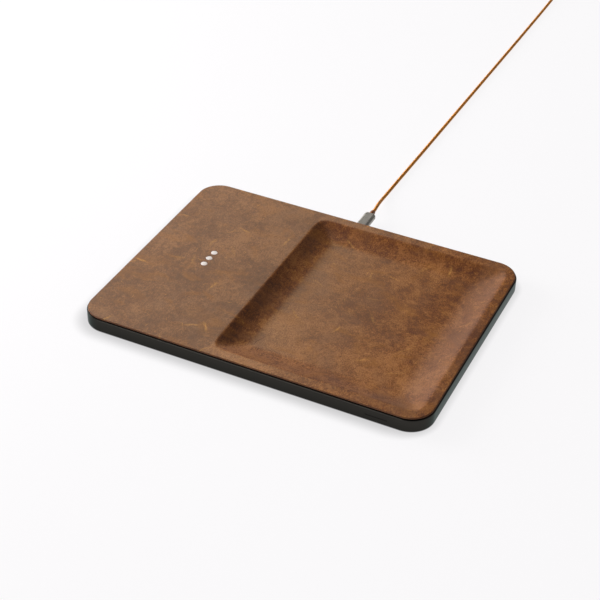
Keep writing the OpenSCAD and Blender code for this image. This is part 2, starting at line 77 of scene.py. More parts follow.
# The leather and the tray pressed into it
SKIN = 1.1 * MM
SKIN_EASE = 0.6 * MM
SKIN_RADIUS = PAD_RADIUS - (RIM_HIGH.x - SKIN_HIGH.x)
TRAY_LEFT = -29 * MM
TRAY_RIGHT = 121 * MM
TRAY_HALF_DEPTH = 87 * MM
TRAY_DROP = 5.5 * MM
TRAY_WALL = 24 * MM
TRAY_CORNER_POWER = 6.5
TRAY_SHOULDER = 0.6 * MM

# The leather's mesh: its outline without the eased edge, the middle part whose columns run straight,
# the gap between lines, and half the width and the cells of the finer square round each dot
GRID_X = SKIN_HIGH.x - SKIN_EASE
GRID_Y = SKIN_HIGH.y - SKIN_EASE
GRID_RADIUS = SKIN_RADIUS - SKIN_EASE
GRID_STRAIGHT = GRID_X - GRID_RADIUS - 6 * MM
GRID_STEP = 1.05 * MM
SQUARE = (DOT_PLACES["middle"].y - DOT_PLACES["front"].y) / 2
SQUARE_CELLS = 12
# The rings from a dot's square down its pocket: how far outside the dot's side, and how deep
POCKET = [
    (0.5 * MM, 0), (0.28 * MM, 0.01 * MM), (0.12 * MM, 0.05 * MM), (0.06 * MM, 0.13 * MM),
    (0.06 * MM, SKIN_HIGH.z - DOTS["middle"][0].z),
]
# How far the leather's cut edge wavers, and over what length
WAVER = 0.05 * MM
WAVER_LENGTH = 9 * MM

# The plug, along its own axis from its front face
PLUG_WIDTH = 9 * MM
PLUG_HEIGHT = 5.2 * MM
PLUG_LENGTH = 19.5 * MM
PLUG_BEVEL = 1.4 * MM
PLUG_CORNER = 1.4 * MM
PLUG_SKIN = 0.35 * MM
PLUG_BACK = 3 * MM
COLLAR_LENGTH = 5.5 * MM
COLLAR_RADIUS = 2.1 * MM
COLLAR_TIP = 1.7 * MM
COLLAR_STUB = 2.8 * MM

# The cord's route: from the collar straight back along the table, then the coil, then the free end
CORD_DIAMETER = 2.6 * MM
ROUTE = [
    (0, 0.1211, 0.0065), (-0.0002, 0.1255, 0.00635), (-0.0011, 0.131, 0.0055), (-0.002, 0.137, 0.0043),
    (-0.0028, 0.1435, 0.003), (-0.0033, 0.151, 0.0019), (-0.0034, 0.161, 0.0014), (-0.0033, 0.172, 0.0013),
    (-0.0031, 0.185, 0.0013), (-0.0028, 0.2, 0.0013), (-0.0022, 0.23, 0.0013), (-0.0017, 0.26, 0.0013),
    (-0.0012, 0.29, 0.0013), (-0.0007, 0.32, 0.0013), (-0.0002, 0.35, 0.0013), (0.0003, 0.38, 0.0013),
    (0.0008, 0.41, 0.0013), (0.0013, 0.44, 0.0013), (0.0018, 0.47, 0.0013), (0.0022, 0.5, 0.0013),
    (0.0026, 0.53, 0.0013), (0.0028, 0.56, 0.0013), (0.0028, 0.575, 0.0015), (0.0028, 0.589, 0.0018),
]
TAIL = [
    (-0.0203, 0.6104, 0.0043), (-0.0228, 0.6109, 0.0039), (-0.0248, 0.6111, 0.0033),
    (-0.027, 0.6111, 0.0026),
]
COIL_CENTRE = Vector((-0.0143, 0.594, 0.0018))
COIL_RADIUS = 14.5 * MM
# Cells of the coil in the order that the cord fills them, as steps out from the middle column and up
COIL_CELLS = [
    (1, 0), (0, 0), (-1, 0), (-1, 1), (0, 1), (0, 2), (-1, 2), (-1, 3), (0, 3), (1, 3), (1, 2), (1, 1),
]
# Angles, in degrees: where the last turn leaves, where the last change of cell starts, how much further
# round each earlier one starts, how long a change takes, and the gap between points
COIL_LEAVE = 90
COIL_LAST_CHANGE = 95
COIL_STAGGER = 20
COIL_CHANGE = 50
COIL_STEP = 2
TIE_LENGTH = 8 * MM
TIE_WALL = 0.4 * MM

# The camera: its place, then its heading to the left of +Y, its tilt down and its roll, in degrees, and
# its lens and sensor in millimetres
CAMERA_PLACE = (0.33981, -0.75320, 0.61760)
CAMERA_HEADING = 24.564
CAMERA_DOWN = 36.690
CAMERA_ROLL = 1.689
CAMERA_LENS = 86.994
CAMERA_SENSOR = 36

# Soft boxes, as patches of the sky: direction, lowest and highest angle above the table and half the
# width, all in degrees, then the distance and the brightness
SOFT_BOXES = [
    ("left_near", 180, 2, 29, 15.5, 0.9, 19.8),
    ("left_low", 180, 3, 20, 22.5, 3, 2.8),
    ("left", 180, 20, 38, 22.5, 3, 4.0),
    ("rear_left", 135, 20, 38, 22.5, 3, 1.3),
    ("rear_left_high", 135, 38, 58, 22.5, 3, 1.0),
    ("front_left_high", 225, 38, 58, 22.5, 3, 1.1),
    ("edge_strip", 250, 2, 14, 14, 3, 7.0),
]
# Boxes that light surfaces but aren't mirrored in them, and boxes that only draw a highlight along edges
NO_REFLECTION = ["left_near"]
ONLY_REFLECTION = ["edge_strip"]
# The surroundings: the heights, as sines, between which they fade, and their brightness below and above
SKY_FADE = (0.12, 0.45)
SKY_GLOW = (0.6, 0.07)

# The light table, at the pad's front and at its right: the glow close to the pad, dimmed there as a painted
# shadow, how much the glow rises further out, and the distance from the pad where it's done rising
FLOOR_GLOW = [(0.61, 0.735), (0.29, 0.165), (13 * MM, 6 * MM)]
# The places along X between which the front's glow turns into the right's
FLOOR_SIDE = (100 * MM, 135 * MM)
# Distances from the pad's outline between which the glow close to the pad fades in, the edge of a painted
# contact shadow
PAINTED_CONTACT_SHADOW = (-0.9 * MM, 0.1 * MM)
# Half the floor's length
FLOOR_REACH = 30

# The leather's colours; then the tone of a painted sheen, of a painted highlight on the tray's right wall
# and of painted shade on the turned edge; and the painted shade that the landing zone and the tray's walls
# are multiplied by
HIDE_DARK = (0.118, 0.029, 0.003)
HIDE_BROWN = (0.268, 0.086, 0.011)
HIDE_TAN = (0.46, 0.180, 0.044)
SMOKE = (0.155, 0.058, 0.024)
GOLD = (0.42, 0.150, 0.011)
AMBER = (0.74, 0.35, 0.07)
PAINTED_SHEEN = (0.42, 0.25, 0.125)
PAINTED_WALL_HIGHLIGHT = (0.24, 0.105, 0.045)
PAINTED_EDGE_SHADE = (0.10, 0.028, 0.004)
PAINTED_LANDING_SHADE = (0.76, 0.76, 0.76)
PAINTED_WALL_SHADE = (0.78, 0.73, 0.70)

# The cord's braid: the length, number round the cord and height of its bumps, then the lean of its
# weave, in radians, and how fine that is
BRAID_LENGTH = 1.6 * MM
BRAID_STRANDS = 6
BRAID_RELIEF = 0.045 * MM
BRAID_LEAN = 0.785
BRAID_SCALE = 2.2


# ---- Meshes ----

def piece_from(name, points, faces, material, crease=30):
    """A mesh piece with outward faces, shaded smooth except across edges sharper than crease degrees."""
    mesh = bpy.data.meshes.new(name)
    mesh.from_pydata([tuple(p) for p in points], [], faces)
    work = bmesh.new()
    work.from_mesh(mesh)
    bmesh.ops.delete(work, geom=[v for v in work.verts if not v.link_faces], context="VERTS")
    bmesh.ops.recalc_face_normals(work, faces=work.faces)
    work.to_mesh(mesh)
    work.free()
    mesh.shade_smooth()
    mesh.set_sharp_from_angle(angle=math.radians(crease))
    mesh.materials.append(material)
    piece = bpy.data.objects.new(name, mesh)
    bpy.context.scene.collection.objects.link(piece)
    return piece


def stitch(before, after):
    """Quads between two rings of point numbers that each close on themselves."""
    count = len(before)
    steps = [(k, (k + 1) % count) for k in range(count)]
    return [(before[k], before[n], after[n], after[k]) for k, n in steps]


def loft(rings, joined=False):
    """Quads between rings of points. joined also closes the last ring onto the first."""
    count = len(rings[0])
    numbers = [range(row * count, (row + 1) * count) for row in range(len(rings))]
    if joined:
        numbers.append(numbers[0])
    return [face for before, after in zip(numbers, numbers[1:]) for face in stitch(before, after)]


def lathe(profile, sides):
    """A body turned about Z from (radius, height) points that start and end on the axis."""
    around = turns(sides)
    rings = [[Vector((r * math.cos(a), r * math.sin(a), z)) for a in around] for r, z in profile[1:-1]]
    points = [p for ring in rings for p in ring]
    faces = loft(rings)
    for (radius, height), first in ((profile[0], 0), (profile[-1], len(points) - sides)):
        tip = len(points)
        points.append(Vector((radius, 0, height)))
        faces += [(tip, first + k, first + (k + 1) % sides) for k in range(sides)]
    return points, faces


def turns(count):
    """Angles of count points spread evenly round a circle."""
    return [math.tau * k / count for k in range(count)]


def arc(cx, cy, radius, start, end, steps):
    """Points of an arc about (cx, cy), with its angles in degrees."""
    angles = [math.radians(start + (end - start) * i / steps) for i in range(steps + 1)]
    return [(cx + radius * math.cos(a), cy + radius * math.sin(a)) for a in angles]


def rounded_outline(half_x, half_y, radius, steps):
    """A rectangle with round corners of so many steps, as points with their outward directions."""
    outline = []
    for sx, sy, start in ((1, 1, 0), (-1, 1, 90), (-1, -1, 180), (1, -1, 270)):
        for x, y in arc(0, 0, 1, start, start + 90, steps):
            out = Vector((x, y, 0))
            corner = Vector((sx * (half_x - radius), sy * (half_y - radius), 0))
            outline.append((corner + radius * out, out))
    return outline


def cut(piece, *cutters):
    """Takes the cutters out of the piece and removes them."""
    for cutter in cutters:
        step = piece.modifiers.new("cut", "BOOLEAN")
        step.operation = "DIFFERENCE"
        step.solver = "EXACT"
        step.object = cutter
    made = piece.evaluated_get(bpy.context.evaluated_depsgraph_get())
    mesh = bpy.data.meshes.new_from_object(made)
    piece.modifiers.clear()
    piece.data = mesh
    mesh.set_sharp_from_angle(angle=math.radians(30))
    for cutter in cutters:
        bpy.data.objects.remove(cutter)


def oval_cutter(centre, width, height, start, end, material):
    """A flat oval bar along Y, from start to end, for cutting."""
    reach = (width - height) / 2
    section = arc(reach, 0, height / 2, -90, 90, 16) + arc(-reach, 0, height / 2, 90, 270, 16)
    rings = [[Vector((centre.x + x, y, centre.z + z)) for x, z in section] for y in (start, end)]
    count = len(section)
    faces = loft(rings) + [tuple(range(count)), tuple(range(2 * count - 1, count - 1, -1))]
    return piece_from("cutter", rings[0] + rings[1], faces, material)


# ---- Materials ----

class Graph:
    """One material's nodes: each method adds a node and gives its output."""

    def __init__(self, name, **shader):
        self.material = bpy.data.materials.new(name)
        self.material.use_nodes = True
        self.tree = self.material.node_tree
        self.shader = self.tree.nodes["Principled BSDF"]
        for socket, value in shader.items():
            self.put(self.shader.inputs[socket.replace("_", " ")], value)
        self.place = self.add("ShaderNodeTexCoord").outputs["Object"]

    def put(self, socket, value):
        """Links another node's output to a socket, or sets the socket to a plain value."""
        if isinstance(value, bpy.types.NodeSocket):
            self.tree.links.new(value, socket)
        else:
            socket.default_value = value

    def add(self, kind, sockets=None, **settings):
        """A new node with its settings made and its sockets filled."""
        node = self.tree.nodes.new(kind)
        for name, value in settings.items():
            setattr(node, name, value)
        for name, value in (sockets or {}).items():
            self.put(node.inputs[name], value)
        return node

    def at(self, stretch=(1, 1, 1), shift=(0, 0, 0), turn=0, source=None):
        """Coordinates that are stretched, turned about Z and shifted."""
        sockets = {
            "Vector": source or self.place, "Location": shift, "Rotation": (0, 0, turn), "Scale": stretch,
        }
        return self.add("ShaderNodeMapping", sockets).outputs["Vector"]

    def axis(self, name, source=None):
        """One part, X, Y or Z, of a place or a direction."""
        return self.add("ShaderNodeSeparateXYZ", {0: source or self.place}).outputs[name]

    def noise(self, size, detail=3, rough=0.5, warp=0, at=None):
        """Cloudy noise whose features are about size metres across."""
        sockets = {"Vector": at or self.place, "Scale": 1 / size, "Detail": detail, "Roughness": rough}
        return self.add("ShaderNodeTexNoise", {**sockets, "Distortion": warp}).outputs["Fac"]

    def cells(self, size, feature="F1", spread=1, at=None):
        """Distances in a pattern of cells about size metres across."""
        sockets = {"Vector": at or self.place, "Scale": 1 / size, "Randomness": spread}
        return self.add("ShaderNodeTexVoronoi", sockets, feature=feature).outputs["Distance"]

    def span(self, value, low, high, to_low=0, to_high=1, smooth=True):
        """Maps low..high to to_low..to_high, and stays at those beyond them."""
        sockets = {"Value": value, "From Min": low, "From Max": high, "To Min": to_low, "To Max": to_high}
        kind = "SMOOTHSTEP" if smooth else "LINEAR"
        return self.add("ShaderNodeMapRange", sockets, interpolation_type=kind).outputs["Result"]

    def vary(self, pattern, low, high):
        """Maps a noise's usual reach, 0.3 to 0.7, to low..high."""
        return self.span(pattern, 0.3, 0.7, low, high)

    def maths(self, operation, a, b=0):
        """One step of arithmetic."""
        return self.add("ShaderNodeMath", {0: a, 1: b}, operation=operation).outputs["Value"]

    def times(self, value, *factors):
        """A value multiplied by each factor."""
        for factor in factors:
            value = self.maths("MULTIPLY", value, factor)
        return value

    def total(self, start, *parts):
        """A starting value plus each part's value times its weight."""
        for value, weight in parts:
            node = self.add("ShaderNodeMath", {0: value, 1: weight, 2: start}, operation="MULTIPLY_ADD")
            start = node.outputs["Value"]
        return start

    def mix(self, share, a, b, way="MIX"):
        """Colour a turning into colour b. The node's colour sockets are its inputs 6 and 7."""
        node = self.add("ShaderNodeMix", data_type="RGBA", blend_type=way)
        self.put(node.inputs["Factor"], share)
        for socket, value in ((node.inputs[6], a), (node.inputs[7], b)):
            self.put(socket, value if isinstance(value, bpy.types.NodeSocket) else (*value, 1))
        return node.outputs[2]

    def strokes(self, spacing, length, width, share, seed, wobble):
        """Short soft strokes at random angles, at most one to a cell about spacing metres across.

        Only a share of the cells have one. length and width run from its middle to its end and side, and
        wobble bends it.
        """
        place = self.at(shift=seed)
        sockets = {"Vector": place, "Scale": 1 / spacing}
        cell = self.add("ShaderNodeTexVoronoi", sockets, voronoi_dimensions="2D").outputs
        local = self.add("ShaderNodeVectorMath", {0: place, 1: cell["Position"]}, operation="SUBTRACT")
        angle = self.times(self.axis("X", cell["Color"]), math.pi)
        sockets = {"Vector": local.outputs["Vector"], "Angle": angle}
        turned = self.add("ShaderNodeVectorRotate", sockets, rotation_type="Z_AXIS").outputs["Vector"]
        bend = self.maths("SUBTRACT", self.noise(length, 2), 0.5)
        aside = self.total(0, (self.axis("Y", turned), 1), (bend, wobble))
        body = self.span(self.maths("ABSOLUTE", aside), 0, width, 1, 0)
        ends = self.span(self.maths("ABSOLUTE", self.axis("X", turned)), 0.2 * length, length, 1, 0)
        there = self.span(self.axis("Y", cell["Color"]), 1 - share, 1, smooth=False)
        return self.times(body, ends, there)

    def outside(self, corner, radius):
        """Distance outside a round-cornered outline about the middle, or inside it where it's negative."""
        beyond = []
        for axis, half in (("X", corner.x), ("Y", corner.y)):
            past = self.maths("SUBTRACT", self.maths("ABSOLUTE", self.axis(axis)), half - radius)
            beyond.append(self.maths("POWER", self.maths("MAXIMUM", past, 0), 2))
        return self.maths("SUBTRACT", self.maths("SQRT", self.maths("ADD", *beyond)), radius)

    def bump(self, height, depth, strength=1, under=None):
        """Surface relief: a height of 1 stands depth metres above a height of 0."""
        node = self.add("ShaderNodeBump", {"Height": height, "Distance": depth, "Strength": strength})
        if under:
            self.put(node.inputs["Normal"], under)
        return node.outputs["Normal"]

    def finish(self, colour, roughness, normal=None):
        """Fills the shader and gives the material."""
        for name, value in (("Base Color", colour), ("Roughness", roughness), ("Normal", normal)):
            if value is not None:
                self.put(self.shader.inputs[name], value)
        return self.material


def leather_clouds(g, fibres):
    """Tone and colour of the hide, from its broad shading down to the specks between its pores."""
    along = g.at((1, 0.75, 1), turn=0.35)
    clouds = [
        (g.noise(70 * MM, 2, 0.5, 0.4, along), 0.9),
        (g.noise(26 * MM, 2, 0.5, 0.8, along), 1.2),
        (g.noise(10 * MM, 2, 0.5, 0.6, along), 1.2),
        (g.noise(3.6 * MM, 2, 0.5, 0.3), 1.2),
        (g.noise(1.2 * MM, 2, 0.6, 0, fibres), 2.5),
    ]
    tone = g.total(0.5 - sum(weight for _, weight in clouds) / 2, *clouds)
    colour = g.mix(g.span(tone, 0, 0.5, smooth=False), HIDE_DARK, HIDE_BROWN)
    return tone, g.mix(g.span(tone, 0.5, 1, smooth=False), colour, HIDE_TAN)


def leather_patches(g, colour):
    """Smoky and golden patches, then painted light: a painted sheen on level leather, painted shade on the
    landing zone and the tray's walls, and a painted highlight on the right wall.
    """
    hazy = g.noise(30 * MM, 4, 0.55, 0.6, g.at(shift=(0.31, 0.17, 0)))
    warm = g.noise(22 * MM, 4, 0.55, 1.0, g.at((0.7, 1.3, 1), (0.7, 0.4, 0.2), 0.5))
    warm = g.span(warm, 0.50, 0.74, 0, 0.45)
    colour = g.mix(g.span(hazy, 0.46, 0.72, 0, 0.5), colour, SMOKE)
    colour = g.mix(g.times(warm, 0.6), colour, GOLD)

    # Painted sheen: a pale tone on level leather, standing in for soft light mirrored there, that fades out
    # towards the tray's right
    across = g.axis("X")
    upward = g.axis("Z", g.add("ShaderNodeNewGeometry").outputs["Normal"])
    fading = g.span(across, 0, 90 * MM, 0.36, 0, smooth=False)
    colour = g.mix(g.times(g.span(upward, 0.99, 1), fading), colour, PAINTED_SHEEN)

    # Painted shade: the landing zone is made darker than the tray's floor
    landing = g.span(across, TRAY_LEFT - 2 * MM, TRAY_LEFT, 1, 0)
    colour = g.mix(landing, colour, PAINTED_LANDING_SHADE, "MULTIPLY")
    # Painted shade: the tray's walls are made darker the more they tilt
    wall = g.span(upward, 0.955, 0.998, 1, 0)
    colour = g.mix(wall, colour, PAINTED_WALL_SHADE, "MULTIPLY")

    # Painted highlight: the upper part of the right wall is made paler, up to just below its edge
    upper = g.span(across, TRAY_RIGHT - TRAY_WALL, TRAY_RIGHT - 0.6 * TRAY_WALL, 0, 0.42)
    below_edge = g.span(across, TRAY_RIGHT - 3 * MM, TRAY_RIGHT, 1, 0)
    colour = g.mix(g.times(upper, below_edge), colour, PAINTED_WALL_HIGHLIGHT)
    return g.mix(g.times(warm, 0.5), colour, GOLD)


def leather_marks(g, colour):
    """Scuffs where the wax has parted, and a few dark creases. Gives the colour and the creases."""
    worn = g.span(g.noise(1.6 * MM, 3, 0.7), 0.36, 0.60, 0.25, 1)
    glows = g.strokes(34 * MM, 11 * MM, 3.5 * MM, 0.7, (0.13, 0.41, 0), 6 * MM)
    scuffs = g.strokes(24 * MM, 8 * MM, 1.5 * MM, 0.6, (0.77, 0.19, 0), 5 * MM)
    nicks = g.strokes(12 * MM, 2.5 * MM, 0.5 * MM, 0.35, (0.29, 0.83, 0), 1 * MM)
    creases = g.strokes(40 * MM, 10 * MM, 0.4 * MM, 0.5, (0.55, 0.62, 0), 4 * MM)
    colour = g.mix(g.times(glows, 0.3), colour, GOLD)
    colour = g.mix(g.times(scuffs, worn, 0.6), colour, AMBER)
    colour = g.mix(g.times(nicks, worn, 0.65), colour, AMBER)
    return g.mix(g.times(creases, 0.7), colour, HIDE_DARK), creases


def leather():
    """Waxed brown leather: clouds, patches, scuffs, creases, pores, a fine grain, painted sheen, shade and
    highlight, and painted shade on its turned edge.
    """
    g = Graph("leather", IOR=1.5)
    fibres = g.at((1.7, 0.8, 1), turn=-0.12)
    tone, colour = leather_clouds(g, fibres)
    colour = leather_patches(g, colour)
    colour, creases = leather_marks(g, colour)
    pores = g.cells(1.1 * MM, at=fibres)
    colour = g.mix(g.span(pores, 0.45, 0.85, 0, 0.35), colour, HIDE_DARK)
    # Painted shade on the turned edge: the colour darkens towards the outline
    edge = g.span(g.outside(SKIN_HIGH, SKIN_RADIUS), -0.7 * MM, -0.1 * MM)
    colour = g.mix(g.times(edge, 0.8), colour, PAINTED_EDGE_SHADE)
    relief = g.bump(pores, -0.06 * MM, 0.6)
    relief = g.bump(g.noise(0.7 * MM, 3, 0.6), 0.04 * MM, 0.5, relief)
    relief = g.bump(g.noise(2.8 * MM, 3, 0.6, 0.6, fibres), 0.12 * MM, 0.5, relief)
    relief = g.bump(creases, -0.12 * MM, 0.8, relief)
    gloss = g.total(0, (g.span(tone, 0.1, 0.9, 0.46, 0.40), 1), (edge, 0.3))
    return g.finish(colour, gloss, relief)


def coated_metal(name, colour, roughness):
    """Dark satin coating with a very fine texture."""
    g = Graph(name, Metallic=1.0, Specular_Tint=(0.655, 0.725, 0.71, 1))
    tone = g.mix(g.noise(20 * MM), colour, tuple(1.15 * c for c in colour))
    gloss = g.vary(g.noise(1.5 * MM, 4, 0.7), roughness - 0.02, roughness + 0.02)
    return g.finish(tone, gloss, g.bump(g.noise(0.3 * MM, 3, 0.6), 0.003 * MM, 0.3))


def plain_metal(name, colour, roughness, stretch=(1, 1, 1)):
    """Bare metal, with a grain that is stretched where it is brushed or drawn."""
    g = Graph(name, Metallic=1.0)
    grain = g.noise(0.3 * MM, 4, 0.6, 0, g.at(stretch))
    tone = g.mix(g.noise(4 * MM), colour, tuple(0.85 * c for c in colour))
    gloss = g.vary(grain, roughness - 0.06, roughness + 0.06)
    return g.finish(tone, gloss, g.bump(grain, 0.006 * MM, 0.5))


def blasted_metal(name, colour, roughness):
    """Bead-blasted and anodised metal: grey, matt and only a little metallic."""
    g = Graph(name, Metallic=0.3, IOR=1.45, Specular_IOR_Level=0.2)
    grain = g.noise(0.2 * MM, 3, 0.6)
    tone = g.mix(g.noise(4 * MM), colour, tuple(0.88 * c for c in colour))
    gloss = g.vary(grain, roughness - 0.05, roughness + 0.05)
    return g.finish(tone, gloss, g.bump(grain, 0.004 * MM, 0.5))


def moulded(name, colour, roughness, grain=0.4 * MM, depth=0.02 * MM):
    """Moulded plastic or rubber: spark-eroded texture and a slight change of tone."""
    g = Graph(name, IOR=1.47)
    paler = tuple(min(1, 1.18 * c + 0.002) for c in colour)
    tone = g.mix(g.noise(15 * MM), colour, paler)
    gloss = g.vary(g.noise(3 * MM), roughness - 0.05, roughness + 0.05)
    return g.finish(tone, gloss, g.bump(g.noise(grain, 3, 0.6), depth, 0.6))


def braid():
    """Orange-tan braided sleeve. The mesh carries u along the cord and v round it, in strands."""
    g = Graph("cord_braid", IOR=1.5, Specular_IOR_Level=0.25, Sheen_Weight=0.08, Sheen_Roughness=0.4,
              Sheen_Tint=(1, 0.75, 0.5, 1))
    uv = g.add("ShaderNodeUVMap", uv_map="cord").outputs["UV"]
    waves = []
    for lean in (BRAID_LEAN, -BRAID_LEAN):
        sockets = {"Vector": g.at(turn=lean, source=uv), "Scale": BRAID_SCALE}
        waves.append(g.add("ShaderNodeTexWave", sockets, bands_direction="X").outputs["Fac"])
    weave = g.maths("MAXIMUM", *waves)
    tone = g.mix(g.span(weave, 0.35, 0.95), (0.36, 0.110, 0.006), (0.80, 0.31, 0.030))
    tone = g.mix(g.span(g.noise(6 * MM), 0.35, 0.7, 0, 0.35), tone, (0.46, 0.16, 0.02))
    fibre = g.noise(0.15 * MM, 3, 0.7)
    relief = g.bump(g.maths("ADD", weave, fibre), 0.06 * MM, 0.6)
    return g.finish(tone, g.vary(fibre, 0.6, 0.8), relief)


def dot_ink():
    """Off-white moulded inlay with a faint speckle."""
    g = Graph("dot", IOR=1.48)
    speckle = g.span(g.noise(0.4 * MM), 0.4, 0.7, 0, 0.6)
    tone = g.mix(speckle, (0.88, 0.80, 0.75), (0.78, 0.69, 0.63))
    gloss = g.vary(g.noise(1 * MM, 2), 0.38, 0.5)
    return g.finish(tone, gloss, g.bump(g.noise(0.2 * MM, 2), 0.01 * MM, 0.4))


def wound_copper():
    """Enamelled copper wire."""
    g = Graph("coil_wire", Metallic=1.0, Coat_Weight=0.6)
    tone = g.mix(g.noise(3 * MM), (0.58, 0.24, 0.09), (0.72, 0.34, 0.14))
    gloss = g.vary(g.noise(0.5 * MM), 0.25, 0.38)
    return g.finish(tone, gloss, g.bump(g.noise(0.2 * MM), 0.008 * MM, 0.5))


def circuit_board():
    """Green solder mask over a faint pattern of tracks."""
    g = Graph("circuit_board", IOR=1.5, Coat_Weight=0.3)
    tracks = g.span(g.cells(2.2 * MM, "DISTANCE_TO_EDGE", 0.2), 0.05, 0.09)
    tone = g.mix(tracks, (0.03, 0.16, 0.07), (0.015, 0.10, 0.04))
    return g.finish(tone, g.vary(g.noise(1 * MM, 2), 0.3, 0.4), g.bump(tracks, 0.02 * MM, 0.5))


def pale_floor():
    """White paper over a glowing light table. Its glow is dimmed round the pad and fades out under it: a
    painted shadow.
    """
    g = Graph("floor", IOR=1.3, Specular_IOR_Level=0.2, Emission_Color=(1, 0.99, 1, 1))
    distance = g.outside(RIM_HIGH, PAD_RADIUS)
    side = g.span(g.axis("X"), *FLOOR_SIDE)
    # Painted shadow: the glow is lower close to the pad, rises further out, and fades out under the pad
    close, rise, reach = (g.total(front, (side, right - front)) for front, right in FLOOR_GLOW)
    near = g.times(g.span(distance, *PAINTED_CONTACT_SHADOW), close)
    beyond = g.times(g.span(distance, 0, reach), rise)
    g.put(g.shader.inputs["Emission Strength"], g.maths("ADD", near, beyond))
    tone = g.mix(g.noise(200 * MM, 2), (0.080, 0.078, 0.080), (0.088, 0.086, 0.088))
    return g.finish(tone, g.span(g.noise(20 * MM, 2), 0, 1, 0.85, 0.95))


MATERIALS = {
    "leather": leather(),
    "dot": dot_ink(),
    "deck_plastic": moulded("deck_plastic", (0.028, 0.026, 0.024), 0.5),
    "rim_metal": coated_metal("rim_metal", (0.029, 0.027, 0.024), 0.30),
    "base_plastic": moulded("base_plastic", (0.017, 0.016, 0.015), 0.55, 0.6 * MM, 0.04 * MM),
    "screw_steel": plain_metal("screw_steel", (0.11, 0.11, 0.105), 0.35),
    "foot_rubber": moulded("foot_rubber", (0.012, 0.012, 0.012), 0.75, 0.3 * MM, 0.03 * MM),
    "coil_wire": wound_copper(),
    "ferrite": moulded("ferrite", (0.05, 0.05, 0.053), 0.6),
    "carrier_plastic": moulded("carrier_plastic", (0.66, 0.65, 0.61), 0.45),
    "circuit_board": circuit_board(),
    "chip_plastic": moulded("chip_plastic", (0.015, 0.015, 0.017), 0.45, 0.2 * MM, 0.01 * MM),
    "component": moulded("component", (0.32, 0.25, 0.16), 0.4, 0.3 * MM, 0.01 * MM),
    "can_steel": plain_metal("can_steel", (0.62, 0.61, 0.58), 0.28, (1, 6, 1)),
    "socket_steel": plain_metal("socket_steel", (0.55, 0.55, 0.53), 0.25, (1, 6, 1)),
    "contact_plastic": moulded("contact_plastic", (0.017, 0.017, 0.019), 0.5),
    "plug_metal": blasted_metal("plug_metal", (0.36, 0.335, 0.295), 0.34),
    "plug_steel": plain_metal("plug_steel", (0.58, 0.57, 0.55), 0.22, (1, 8, 1)),
    "collar": moulded("collar", (0.24, 0.085, 0.028), 0.45, 0.5 * MM, 0.03 * MM),
    "cord_braid": braid(),
    "tie_strap": moulded("tie_strap", (0.02, 0.019, 0.018), 0.7, 0.7 * MM, 0.08 * MM),
}


def dress(piece, slot, body, *nodes):
    """Makes a piece ride a body and stand for its CAD nodes, which it hides."""
    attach(piece, body)
    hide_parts(*nodes)
    return piece


# ---- Camera ----

def place_camera():
    """The camera that the photo was taken with, as solved from the pad's outline."""
    camera = bpy.data.objects.new("camera", bpy.data.cameras.new("camera"))
    bpy.context.scene.collection.objects.link(camera)
    heading, down, roll = (math.radians(a) for a in (CAMERA_HEADING, CAMERA_DOWN, CAMERA_ROLL))
    turn = Matrix.Rotation(heading, 4, "Z") @ Matrix.Rotation(math.pi / 2 - down, 4, "X")
    camera.matrix_world = Matrix.Translation(CAMERA_PLACE) @ turn @ Matrix.Rotation(roll, 4, "Z")
    camera.data.lens = CAMERA_LENS
    camera.data.sensor_width = CAMERA_SENSOR
    camera.data.clip_start = 0.05
    bpy.context.scene.camera = camera


# ---- Cord ----

def smooth(points, spacing):
    """A Catmull-Rom curve through points, with a point about every spacing metres."""
    points = [Vector(p) for p in points]
    last = len(points) - 1
    curve = []
    for i in range(last):
        a, b, c, d = (points[max(min(i + k, last), 0)] for k in (-1, 0, 1, 2))
        parts = max(1, round((c - b).length / spacing))
        for j in range(parts):
            t = j / parts
            curve.append(0.5 * (2 * b + (c - a) * t + (2 * a - 5 * b + 4 * c - d) * t * t
                                + (3 * b - 3 * c + d - a) * t ** 3))
    return curve + [points[last]]


def coil_path():
    """The cord's line round the coil, from the end of the run to the start of the tail."""
    line = []
    last = len(COIL_CELLS) - 1
    for turn, cell in enumerate(COIL_CELLS):
        start = COIL_LAST_CHANGE + (last - 1 - turn) * COIL_STAGGER
        after = COIL_CELLS[min(turn + 1, last)]
        for degrees in range(0, 360 if turn < last else COIL_LEAVE + 1, COIL_STEP):
            t = min(max((degrees - start) / COIL_CHANGE, 0), 1) if turn < last else 0
            share = t * t * (3 - 2 * t)
            out, layer = (a + (b - a) * share for a, b in zip(cell, after))
            radius = COIL_RADIUS + out * CORD_DIAMETER
            angle = math.radians(degrees)
            x, y = radius * math.cos(angle), radius * math.sin(angle)
            line.append(COIL_CENTRE + Vector((x, y, layer * CORD_DIAMETER)))
    return line


def even(points, spacing):
    """The same line, with its points one spacing apart."""
    made = [points[0]]
    left = spacing
    for a, b in zip(points, points[1:]):
        length = (b - a).length
        while left <= length:
            made.append(a + (b - a) * (left / length))
            left += spacing
        left -= length
    return made + [points[-1]]


